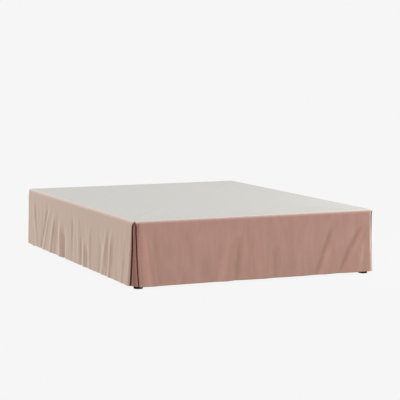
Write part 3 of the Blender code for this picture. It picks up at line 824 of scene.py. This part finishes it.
class SeamSettings(bpy.types.PropertyGroup):
    groove: length_prop("Groove", "How far the cloth dips at the seam", 0.0003)
    roll: length_prop("Roll", "Width over which it dips", 0.003)
    stitch: length_prop("Stitch", "Length of a stitch", 0.0028)
    pitch: length_prop("Pitch", "From stitch to stitch", 0.0036)
    thread_size: length_prop("Thread size", "Thickness of the thread", 0.0006)
    inset: length_prop("Inset", "Of the stitches from the deck's edge", 0.005)
    thread: colour_prop("Thread", "Sewing thread", "#e9e4da")
    # Painted shade in the grooves between the thread's plies.
    thread_painted_shade: colour_prop("Thread, shade", "Between its plies", "#cfc6b8")


class BaseSettings(bpy.types.PropertyGroup):
    wood_light: colour_prop("Wood, early", "Pine's early growth", "#dcb98a")
    wood_dark: colour_prop("Wood, late", "Pine's late growth", "#b98a55")
    foot: colour_prop("Foot", "Black plastic", "#030303")
    foot_worn: colour_prop("Foot, worn", "Its dustier places", "#070707")
    foot_rounding: length_prop("Foot rounding", "Of a foot's lower edge", 0.0020)


class StageSettings(bpy.types.PropertyGroup):
    floor: colour_prop("Floor", "Pale studio floor", "#f6f6f6")
    floor_glow: strength_prop("Floor glow", "Even light from the floor", 0.978)
    paint: colour_prop("Floor paint", "What it takes of other light", "#282828")
    camera: FloatVectorProperty(name="Camera", description="Its place", subtype="XYZ",
                                unit="LENGTH", default=(-3.6260, -8.5987, 1.3682))
    heading: angle_prop("Heading", "Camera's turn to the right of +Y", 23.283)
    tilt: angle_prop("Tilt", "Camera's tilt down", 6.094)
    lens: strength_prop("Lens", "Focal length in mm for a 36 mm wide picture", 133.08)
    key: strength_prop("Key", "Strength of the light along the left side", 1.1)
    rim: strength_prop("Rim", "Power of the light from the right, in W", 34.0)
    rake: strength_prop("Rake", "Strength of the light along the foot end", 2.1)
    sky: strength_prop("Sky", "Strength of the even light all round", 1.0)


class SkirtSettings(bpy.types.PropertyGroup):
    cloth: PointerProperty(type=ClothSettings)
    deck: PointerProperty(type=DeckSettings)
    seam: PointerProperty(type=SeamSettings)
    base: PointerProperty(type=BaseSettings)
    stage: PointerProperty(type=StageSettings)


# ---- the skirt ----------------------------------------------------------------------
SIDE_CORNERS, FOOT_CORNERS = 0.06, 0.08  # allowed in a flat length for going round corners
SIDE_FLAT_L = MIDDLE_L + HEAD_RETURN + SIDE_CORNERS
FOOT_FLAT_L = MIDDLE_W + FOOT_CORNERS

# Each drop's neighbours at its two ends, its place and the length of its cut piece.
CUTS = {
    "left": (None, "foot", place_left, SIDE_FLAT_L),
    "foot": ("left", "right", place_foot, FOOT_FLAT_L),
    "right": (None, "foot", place_right, SIDE_FLAT_L),
}

# The painted light beside a drop's folded edge at a foot corner. opened: how much painted
# highlight it gets there, on reach points of a row. tucked: how much painted shade it gets on
# them. dark, span: the points of a row on which the slot's painted shade starts and grows.
# low: the level down to which that shows.
Edge = namedtuple("Edge", "opened reach tucked dark span low")
PLAIN_EDGE = Edge(0.45, 12, 0.00, 5.0, 13.0, DROP)
EDGES = {
    "left": (None, PLAIN_EDGE),
    "foot": (Edge(0.00, 18, 0.46, 6.0, 8.0, DROP), Edge(0.90, 14, 0.00, 5.5, 4.5, 0.22)),
    "right": (None, PLAIN_EDGE),
}
HIGHLIGHT_H, HIGHLIGHT_FADES = 0.018, 1.5  # a painted highlight along the top reaches down to here, fading with this power
JOINT_FROM, JOINT_GROWS = 0.003, 0.002  # painted shade at the joint above a pleat shows from this level on
JOINT_WIDE, JOINT_POINTS = 1.6, 6  # it fades over these points, and ends at 1.6 times as many
ARCH_POINTS = 3  # under its arch a slot's painted shade is wider by these
LOW_FADES = 0.05  # below low the slot's painted shade dies away over this
LOW_HIGHLIGHT = 0.45  # the share of an edge's painted highlight that stays there
PLEAT_DARK, ARCH_DARK, CREASE_DARK = 0.62, 0.08, 0.14  # painted shade on a pleat's face, and what its arch and crease add
# Over this height below the apex the painted shade of a pleat's arch fades.
ARCH_DARK_H = 0.1
LEG_DARK = 1.5  # at this a leg is wholly in painted shade on its outer third


def painted_light_of_drop(name):
    """Says how much painted highlight and painted shade a drop's cloth gets at a point of a row."""

    def painted_light_at(i, count, level):
        # Painted highlight along the top of the drop.
        opened = max(1 - (level - TOP_MIDDLE) / HIGHLIGHT_H, 0.0) ** HIGHLIGHT_FADES
        tucked = 0.0
        for edge, steps in zip(EDGES[name], (i, count - 1 - i)):
            if edge is None:
                continue
            if level <= APEX:
                joint = smooth((level - JOINT_FROM) / JOINT_GROWS)
                beside = smooth(JOINT_WIDE - (steps - LEG_STEPS) / JOINT_POINTS)
                tucked = max(tucked, joint * beside)
                continue
            # Painted highlight beside the folded edge, and painted shade in its slot and fold.
            before = steps - LEG_STEPS - FOLD_STEPS
            beside = smooth(2 * (1 - before / edge.reach))
            shows = 1 - smooth((level - edge.low) / LOW_FADES)
            dark = edge.dark + ARCH_POINTS * (1 - arch_share(level))
            slot = smooth((dark - before) / edge.span) * shows
            opened = max(opened, edge.opened * beside * (LOW_HIGHLIGHT + (1 - LOW_HIGHLIGHT) * shows))
            tucked = max(tucked, edge.tucked * beside, slot, smooth(-before / FOLD_STEPS))
        return opened, tucked

    return painted_light_at


def painted_light_of_pleat(i, count, level):
    """Says how much painted shade a pleat's cloth gets at a point of a row; it gets no painted
    highlight.
    """
    from_edge = min(i, count - 1 - i) / (LEG_STEPS + FOLD_STEPS)
    from_crease = abs(i - (count - 1) / 2) / (PLEAT_FACE_STEPS / 2)
    arch = 1 - smooth((level - APEX) / ARCH_DARK_H)
    crease = smooth(1 - from_crease) * (1 - arch)
    face = PLEAT_DARK + ARCH_DARK * arch + CREASE_DARK * crease
    return 0.0, max(face, smooth(LEG_DARK * (1 - from_edge)))


class BEDSKIRT_OT_drops(bpy.types.Operator):
    """Makes the three hanging drops of the skirt"""

    bl_idname = "bed_skirt.drops"
    bl_label = "Hanging Drops"

    def execute(self, context):
        material = velvet()
        for name, (first, last, place, flat_length) in CUTS.items():
            rows = drop_rows(name, first, last)
            obj = woven_sheet(f"skirt_{name}", rows, place, material, painted_light_of_drop(name))
            thicken_skirt(obj)
            dress(obj, "skirt_cloth", f"drop_{name}")
        return {"FINISHED"}


class BEDSKIRT_OT_pleats(bpy.types.Operator):
    """Makes the pleats let in at the foot corners"""

    bl_idname = "bed_skirt.pleats"
    bl_label = "Corner Pleats"

    def execute(self, context):
        material = bpy.data.materials["cotton_velvet"]
        for side, place in (("left", place_left), ("right", place_right)):
            rows = pleat_rows(side)
            obj = woven_sheet(f"corner_pleat_{side}", rows, place, material, painted_light_of_pleat)
            thicken_skirt(obj)
            dress(obj, "skirt_cloth", f"pleat_{side}")
            width = running_length(rows[len(rows) // 2])[-1]
        return {"FINISHED"}


# ---- the deck -----------------------------------------------------------------------
# Soft wrinkles where the deck lies a little slack: from, to, half their width, height.
Wrinkle = namedtuple("Wrinkle", "x0 y0 x1 y1 half height")
WRINKLES = [
    Wrinkle(-0.70, -0.93, -0.42, -0.55, 0.016, 0.0022),
    Wrinkle(-0.60, -0.95, -0.25, -0.70, 0.013, 0.0016),
    Wrinkle(0.69, -0.94, 0.38, -0.62, 0.015, 0.0020),
    Wrinkle(-0.70, 0.10, -0.30, 0.16, 0.014, 0.0015),
    Wrinkle(0.20, -0.40, 0.66, -0.33, 0.016, 0.0018),
    Wrinkle(-0.15, 0.30, 0.28, 0.42, 0.018, 0.0014),
    Wrinkle(-0.68, 0.93, -0.40, 0.60, 0.015, 0.0019),
    Wrinkle(0.67, 0.94, 0.45, 0.52, 0.014, 0.0020),
    Wrinkle(-0.30, -0.20, -0.05, -0.16, 0.020, 0.0012),
]
WRINKLE_PAST = 0.1  # the share of its length by which a wrinkle runs on past both its ends
WRINKLE_FADES = 0.5  # and the share over which it dies away to there
WRINKLE_BOW = 0.02  # how far its middle bows aside
DECK_CALM = 0.04  # the wrinkles die away this near to the deck's edge
SLACK_H, SLACK_L, SLACK_SEED = 0.0005, 0.09, 0.5  # the deck's slight waves
DECK_CELL = 0.012
RIM_STEPS = (0.0, 0.0012, 0.0025, 0.005, 0.009)
DECK_CORNER = 0.0157


def wrinkle_height(x, y):
    height = 0.0
    for w in WRINKLES:
        start, reach = Vector((w.x0, w.y0)), Vector((w.x1 - w.x0, w.y1 - w.y0))
        way = reach.normalized()
        off = Vector((x, y)) - start
        place = off.dot(way) / reach.length
        to_end = min(place, 1 - place) + WRINKLE_PAST
        if to_end <= 0:
            continue
        side = off.dot(Vector((-way.y, way.x))) - WRINKLE_BOW * math.sin(math.pi * place)
        height += w.height * smooth(to_end / WRINKLE_FADES) * math.exp(-((side / w.half) ** 2))
    return height


def deck_point(x, y):
    """A grid point's place on the deck, whose corners' square blocks are bent to quarter discs."""
    seam = settings().seam
    u = max(abs(x) - (DECK_HALF_W - DECK_CORNER), 0.0) / DECK_CORNER
    v = max(abs(y) - (DECK_HALF_L - DECK_CORNER), 0.0) / DECK_CORNER
    from_edge = min(DECK_HALF_W - abs(x), DECK_HALF_L - abs(y))
    calm = smooth((from_edge - seam.roll) / DECK_CALM)
    slack = SLACK_H * noise.noise(Vector((x / SLACK_L, y / SLACK_L, SLACK_SEED)))
    z = TOP_Z - TOP_MIDDLE + calm * (wrinkle_height(x, y) + slack)
    z -= seam.groove * smooth(1 - from_edge / seam.roll)
    if u and v:
        x = math.copysign(DECK_HALF_W - DECK_CORNER * (1 - u * math.sqrt(1 - v * v / 2)), x)
        y = math.copysign(DECK_HALF_L - DECK_CORNER * (1 - v * math.sqrt(1 - u * u / 2)), y)
    return Vector((x, y, z))


def rim_lines(half):
    """Grid lines across the deck, from one edge to the other, close together at both."""
    inner = half - DECK_CORNER
    middle = between(-inner, inner, round(2 * inner / DECK_CELL))
    edge = [half - step for step in RIM_STEPS]
    return [-x for x in edge] + middle + edge[::-1]


class BEDSKIRT_OT_deck(bpy.types.Operator):
    """Makes the flat deck cloth between the drops"""

    bl_idname = "bed_skirt.deck"
    bl_label = "Deck Cloth"

    def execute(self, context):
        xs, ys = rim_lines(DECK_HALF_W), rim_lines(DECK_HALF_L)
        bm = bmesh.new()
        uv_layer = bm.loops.layers.uv.new("cloth")
        grid = [[bm.verts.new(deck_point(x, y)) for x in xs] for y in ys]
        for lower, upper in zip(grid, grid[1:]):
            for i in range(len(xs) - 1):
                face = bm.faces.new((lower[i], lower[i + 1], upper[i + 1], upper[i]))
                for loop in face.loops:
                    loop[uv_layer].uv = loop.vert.co.xy
        obj = new_object("deck_cloth", finished_mesh("deck_cloth", bm), calico())
        thicken(obj, settings().deck.thickness)
        dress(obj, "deck_cloth", "deck")
        return {"FINISHED"}


def stitch_tree(material):
    """A node tree that lays a row of stitches along a line of edges."""
    tree = bpy.data.node_groups.new("stitch_row", "GeometryNodeTree")
    for way in ("INPUT", "OUTPUT"):
        tree.interface.new_socket("Geometry", in_out=way, socket_type="NodeSocketGeometry")
    for name in ("Pitch", "Stitch length", "Thread size"):
        size = tree.interface.new_socket(name, in_out="INPUT", socket_type="NodeSocketFloat")
        size.subtype = "DISTANCE"
    given = add_node(tree, "NodeGroupInput").outputs
    curve = add_node(tree, "GeometryNodeMeshToCurve", {"Mesh": given["Geometry"]})
    points = add_node(tree, "GeometryNodeCurveToPoints", {
        "Curve": curve, "Length": given["Pitch"]}, mode="LENGTH")
    along = add_node(tree, "FunctionNodeAlignRotationToVector", {
        "Vector": points.outputs["Tangent"]}, axis="X")
    bead = add_node(tree, "GeometryNodeMeshUVSphere", {"Segments": 6, "Rings": 5, "Radius": 0.5})
    lying = add_node(tree, "GeometryNodeTransform", {
        "Geometry": bead, "Rotation": (0.0, math.pi / 2, 0.0)})
    size = add_node(tree, "ShaderNodeCombineXYZ", {
        "X": given["Stitch length"], "Y": given["Thread size"], "Z": given["Thread size"]})
    stitches = add_node(tree, "GeometryNodeInstanceOnPoints", {
        "Points": points, "Instance": lying, "Rotation": along, "Scale": size})
    real = add_node(tree, "GeometryNodeRealizeInstances", {"Geometry": stitches})
    soft = add_node(tree, "GeometryNodeSetShadeSmooth", {"Geometry": real})
    painted = add_node(tree, "GeometryNodeSetMaterial", {"Geometry": soft, "Material": material})
    add_node(tree, "NodeGroupOutput", {"Geometry": painted})
    return tree


def rounded_outline(half_w, half_l, radius, z, steps=8):
    """The points of a rectangle with round corners."""
    points = []
    for turn, (sx, sy) in enumerate(((1, 1), (-1, 1), (-1, -1), (1, -1))):
        centre = Vector((sx * (half_w - radius), sy * (half_l - radius), z))
        for angle in between(turn * math.pi / 2, (turn + 1) * math.pi / 2, steps):
            points.append(centre + radius * Vector((math.cos(angle), math.sin(angle), 0.0)))
    return points


class BEDSKIRT_OT_stitches(bpy.types.Operator):
    """Makes the row of stitches that holds the deck's seams flat"""

    bl_idname = "bed_skirt.stitches"
    bl_label = "Seam Stitches"

    def execute(self, context):
        seam = settings().seam
        top = TOP_Z - TOP_MIDDLE + settings().deck.thickness / 2
        points = rounded_outline(DECK_HALF_W - seam.inset, DECK_HALF_L - seam.inset,
                                 DECK_CORNER - seam.inset, top)
        mesh = bpy.data.meshes.new("stitch_line")
        mesh.from_pydata(points, [(i, (i + 1) % len(points)) for i in range(len(points))], [])
        thread = spun_thread()
        line = new_object("stitch_line", mesh, thread)
        modifier = line.modifiers.new("stitches", "NODES")
        modifier.node_group = stitch_tree(thread)
        sizes = {"Pitch": seam.pitch, "Stitch length": seam.stitch,
                 "Thread size": seam.thread_size}
        for item in modifier.node_group.interface.items_tree:
            if item.in_out == "INPUT" and item.name in sizes:
                modifier[item.identifier] = sizes[item.name]
        evaluated = line.evaluated_get(context.evaluated_depsgraph_get())
        stitches = new_object("seam_stitches", bpy.data.meshes.new_from_object(evaluated), thread)
        bpy.data.objects.remove(line)
        dress(stitches, "deck_cloth")
        return {"FINISHED"}


# ---- the base -----------------------------------------------------------------------
WOOD_GRAIN = {
    "x": ("rail_foot", "rail_head"),
    "y": ("bed_board", "rail_left", "rail_right", "beam_centre"),
    "z": ("post_foot_left", "post_foot_right", "post_head_left", "post_head_right", "post_centre"),
}
FEET = ("foot_foot_left", "foot_foot_right", "foot_head_left", "foot_head_right", "foot_centre")
FOOT_CROWN = 0.0006  # a foot's side bulges this much
FOOT_TURN_STEPS, FOOT_LOW_STEPS, FOOT_SIDE_STEPS, FOOT_HIGH_STEPS = 64, 8, 6, 6
FOOT_SHARP = math.radians(35)


class BEDSKIRT_OT_base(bpy.types.Operator):
    """Finishes the wooden pieces of the bed base"""

    bl_idname = "bed_skirt.base"
    bl_label = "Wooden Base"

    def execute(self, context):
        for axis, names in WOOD_GRAIN.items():
            material = pine(axis)
            for name in names:
                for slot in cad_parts[name].material_slots:
                    slot.material = material
        return {"FINISHED"}


def foot_profile(radius, height):
    """Half of a foot's outline, (distance from its middle, height), from the floor up."""
    low = settings().base.foot_rounding
    high = low / 2
    points = [(0.0, 0.0)]
    for angle in between(-math.pi / 2, 0.0, FOOT_LOW_STEPS):
        points.append((radius - low * (1 - math.cos(angle)), low * (1 + math.sin(angle))))
    for up in between(0.0, 1.0, FOOT_SIDE_STEPS)[1:-1]:
        bulge = FOOT_CROWN * math.sin(math.pi * up)
        points.append((radius - FOOT_CROWN + bulge, low + (height - 2 * low) * up))
    for angle in between(0.0, math.pi / 2, FOOT_HIGH_STEPS):
        inward, down = high * (1 - math.cos(angle)), high * (1 - math.sin(angle))
        points.append((radius - inward, height - down))
    return points + [(0.0, height)]


class BEDSKIRT_OT_feet(bpy.types.Operator):
    """Makes the round feet under the base"""

    bl_idname = "bed_skirt.feet"
    bl_label = "Round Feet"

    def execute(self, context):
        material = moulded_plastic()
        for node in FEET:
            low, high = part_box(node)
            centre = (low + high) / 2
            bm = bmesh.new()
            profile = foot_profile((high.x - low.x) / 2, high.z - low.z)
            verts = [bm.verts.new((x, 0.0, z)) for x, z in profile]
            edges = [bm.edges.new(pair) for pair in zip(verts, verts[1:])]
            bmesh.ops.spin(bm, geom=verts + edges, axis=(0, 0, 1), cent=(0, 0, 0),
                           steps=FOOT_TURN_STEPS, angle=2 * math.pi)
            bmesh.ops.remove_doubles(bm, verts=bm.verts, dist=0.00001)
            bmesh.ops.translate(bm, verts=bm.verts, vec=(centre.x, centre.y, low.z))
            bmesh.ops.recalc_face_normals(bm, faces=bm.faces)
            mesh = finished_mesh(f"round_{node}", bm)
            mesh.set_sharp_from_angle(angle=FOOT_SHARP)
            dress(new_object(f"round_{node}", mesh, material), "foot_plastic", node)
        return {"FINISHED"}


# ---- the stage ----------------------------------------------------------------------
FLOOR_HALF = 14.0
SWEEP_FROM = 7.0  # behind the bed, where the floor starts to curve up
SWEEP_RADIUS = 4.0
SWEEP_STEPS = 16
WALL_H = 9.0
SENSOR = 36.0  # the camera's picture is this wide, in mm
SKIRT = ("skirt_left", "skirt_foot", "skirt_right", "corner_pleat_left", "corner_pleat_right")
FOOT_END = ("skirt_foot", "corner_pleat_left", "corner_pleat_right")
RIM_PLACE, RIM_TARGET, RIM_SIZE = (2.4, -1.10, 0.6), (0.78, -1.0, 0.2), 0.5
KEY_PLACE, RAKE_PLACE = (-2.0, 5.0, 0.8), (-6.2, -0.85, 1.6)
SOFTNESS = math.radians(12)  # how wide the two far lights look from the bed


def aim(name, data, place, target):
    """A light or camera at a place, turned towards another."""
    obj = bpy.data.objects.new(name, data)
    obj.location = place
    obj.rotation_euler = (Vector(target) - Vector(place)).to_track_quat("-Z", "Y").to_euler()
    bpy.context.scene.collection.objects.link(obj)
    return obj


def named_pieces(name, pieces):
    collection = bpy.data.collections.new(name)
    for piece in pieces:
        collection.objects.link(bpy.data.objects[piece])
    return collection


def far_light(name, place, strength, lit):
    """A soft light so far off that it is as strong all along a side of the bed.

    It comes from that place's direction and falls only on the lit pieces, and only the skirt
    stands in its way.
    """
    light = bpy.data.lights.new(name, "SUN")
    light.energy = strength
    light.angle = SOFTNESS
    linking = aim(name, light, place, (0.0, 0.0, 0.0)).light_linking
    linking.receiver_collection = named_pieces(f"{name}_lit", lit)
    linking.blocker_collection = named_pieces(f"{name}_stopped_by", SKIRT)


class BEDSKIRT_OT_stage(bpy.types.Operator):
    """Makes the studio floor, the soft lights and the camera"""

    bl_idname = "bed_skirt.stage"
    bl_label = "Studio Stage"

    def execute(self, context):
        stage = settings().stage
        scene = context.scene
        profile = [(-FLOOR_HALF, 0.0), (SWEEP_FROM, 0.0)]
        for angle in between(0.0, math.pi / 2, SWEEP_STEPS)[1:]:
            back = SWEEP_FROM + SWEEP_RADIUS * math.sin(angle)
            profile.append((back, SWEEP_RADIUS * (1 - math.cos(angle))))
        profile.append((SWEEP_FROM + SWEEP_RADIUS, WALL_H))
        bm = bmesh.new()
        left, right = ([bm.verts.new((x, y, z)) for y, z in profile]
                       for x in (-FLOOR_HALF, FLOOR_HALF))
        for i in range(len(profile) - 1):
            bm.faces.new((left[i], right[i], right[i + 1], left[i + 1]))
        new_object("studio_floor", finished_mesh("studio_floor", bm), studio_floor())

        world = bpy.data.worlds.new("studio_sky")
        world.use_nodes = True
        set_inputs(world.node_tree, world.node_tree.nodes["Background"],
                   {"Color": stage.floor, "Strength": stage.sky})
        scene.world = world

        rim = bpy.data.lights.new("rim_light", "AREA")
        rim.shape = "RECTANGLE"
        rim.size = rim.size_y = RIM_SIZE
        rim.energy = stage.rim
        aim("rim_light", rim, RIM_PLACE, RIM_TARGET)
        far_light("key_light", KEY_PLACE, stage.key, ("skirt_left",))
        far_light("rake_light", RAKE_PLACE, stage.rake, FOOT_END)

        camera = bpy.data.cameras.new("photo_camera")
        camera.sensor_width = SENSOR
        camera.lens = stage.lens
        ahead = Vector((math.sin(stage.heading) * math.cos(stage.tilt),
                        math.cos(stage.heading) * math.cos(stage.tilt), -math.sin(stage.tilt)))
        scene.camera = aim("photo_camera", camera, stage.camera, Vector(stage.camera) + ahead)
        scene.view_settings.view_transform = "Standard"
        return {"FINISHED"}


# ---- the add-on ---------------------------------------------------------------------
SETTINGS = (ClothSettings, DeckSettings, SeamSettings, BaseSettings, StageSettings, SkirtSettings)
OPERATORS = (BEDSKIRT_OT_drops, BEDSKIRT_OT_pleats, BEDSKIRT_OT_stage, BEDSKIRT_OT_deck,
             BEDSKIRT_OT_stitches, BEDSKIRT_OT_base, BEDSKIRT_OT_feet)


class BEDSKIRT_PT_panel(bpy.types.Panel):
    """Lists the skirt's settings and the steps that make it"""

    bl_idname = "BEDSKIRT_PT_panel"
    bl_label = "Bed Skirt"
    bl_space_type = "VIEW_3D"
    bl_region_type = "UI"
    bl_category = "Bed Skirt"

    def draw(self, context):
        for operator in OPERATORS:
            self.layout.operator(operator.bl_idname)
        for group in ("cloth", "deck", "seam", "base", "stage"):
            box = self.layout.box()
            box.label(text=group.capitalize())
            part = getattr(context.scene.bed_skirt, group)
            for name in part.__annotations__:
                box.prop(part, name)


def register():
    for cls in (*SETTINGS, *OPERATORS, BEDSKIRT_PT_panel):
        bpy.utils.register_class(cls)
    bpy.types.Scene.bed_skirt = PointerProperty(type=SkirtSettings)


def unregister():
    del bpy.types.Scene.bed_skirt
    for cls in reversed((*SETTINGS, *OPERATORS, BEDSKIRT_PT_panel)):
        bpy.utils.unregister_class(cls)


def main():
    register()
    bpy.ops.bed_skirt.drops()
    bpy.ops.bed_skirt.pleats()
    bpy.ops.bed_skirt.stage()
    bpy.ops.bed_skirt.deck()
    bpy.ops.bed_skirt.stitches()
    bpy.ops.bed_skirt.base()
    bpy.ops.bed_skirt.feet()


if __name__ == "__main__":
    main()
